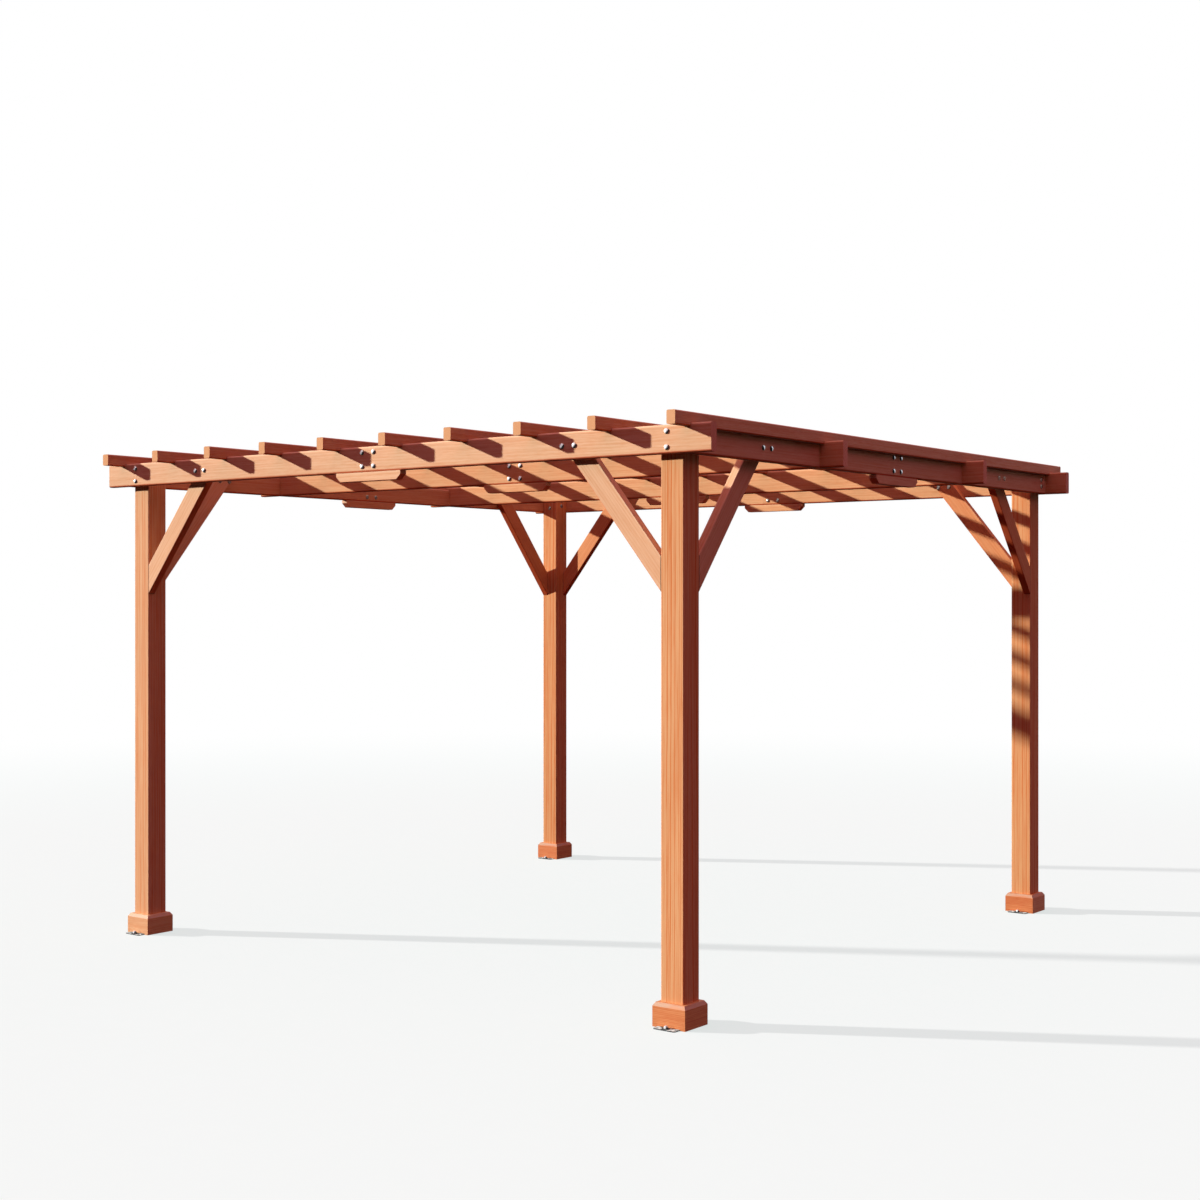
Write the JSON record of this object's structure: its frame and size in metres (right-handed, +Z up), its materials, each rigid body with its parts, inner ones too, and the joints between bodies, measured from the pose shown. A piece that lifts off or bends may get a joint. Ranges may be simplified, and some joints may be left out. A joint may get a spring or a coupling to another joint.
{
  "type": "wooden pergola",
  "caption": "Open square garden pergola in stained wood: posts on plinths, knee braces, lapped beams with splice blocks and a roof of evenly spaced slats.",
  "frame": {"origin": "ground level, under the middle of the roof", "axes": "+Z up, +X along the front beam to the right, +Y from the front beam to the back beam"},
  "size_m": [3.658, 3.642, 2.39],
  "materials": {
    "post_cedar": "satin stain",
    "beam_cedar": "satin stain",
    "slat_cedar": "satin stain",
    "brace_cedar": "satin stain",
    "plinth_cedar": "satin stain",
    "block_cedar": "satin stain",
    "bracket_steel": "galvanised"
  },
  "bodies": {
    "root": {"front_left_post": "post_cedar", "front_left_plinth": "plinth_cedar", "front_left_cross_brace": "brace_cedar", "front_left_side_brace": "brace_cedar", "front_right_post": "post_cedar", "front_right_plinth": "plinth_cedar", "front_right_cross_brace": "brace_cedar", "front_right_side_brace": "brace_cedar", "back_left_post": "post_cedar", "back_left_plinth": "plinth_cedar", "back_left_cross_brace": "brace_cedar", "back_left_side_brace": "brace_cedar", "back_right_post": "post_cedar", "back_right_plinth": "plinth_cedar", "back_right_cross_brace": "brace_cedar", "back_right_side_brace": "brace_cedar", "anchor_brackets": "bracket_steel", "front_beam_left_half": "beam_cedar", "front_beam_right_half": "beam_cedar", "front_splice_block": "block_cedar", "second_beam_left_half": "beam_cedar", "second_beam_right_half": "beam_cedar", "second_splice_block": "block_cedar", "third_beam_left_half": "beam_cedar", "third_beam_right_half": "beam_cedar", "third_splice_block": "block_cedar", "back_beam_left_half": "beam_cedar", "back_beam_right_half": "beam_cedar", "back_splice_block": "block_cedar", "left_beam_front_half": "beam_cedar", "left_beam_back_half": "beam_cedar", "left_splice_block": "block_cedar", "right_beam_front_half": "beam_cedar", "right_beam_back_half": "beam_cedar", "right_splice_block": "block_cedar", "slat_01": "slat_cedar", "slat_02": "slat_cedar", "slat_03": "slat_cedar", "slat_04": "slat_cedar", "slat_05": "slat_cedar", "slat_06": "slat_cedar", "slat_07": "slat_cedar", "slat_08": "slat_cedar", "slat_09": "slat_cedar", "slat_10": "slat_cedar"}
  },
  "joints": []
}
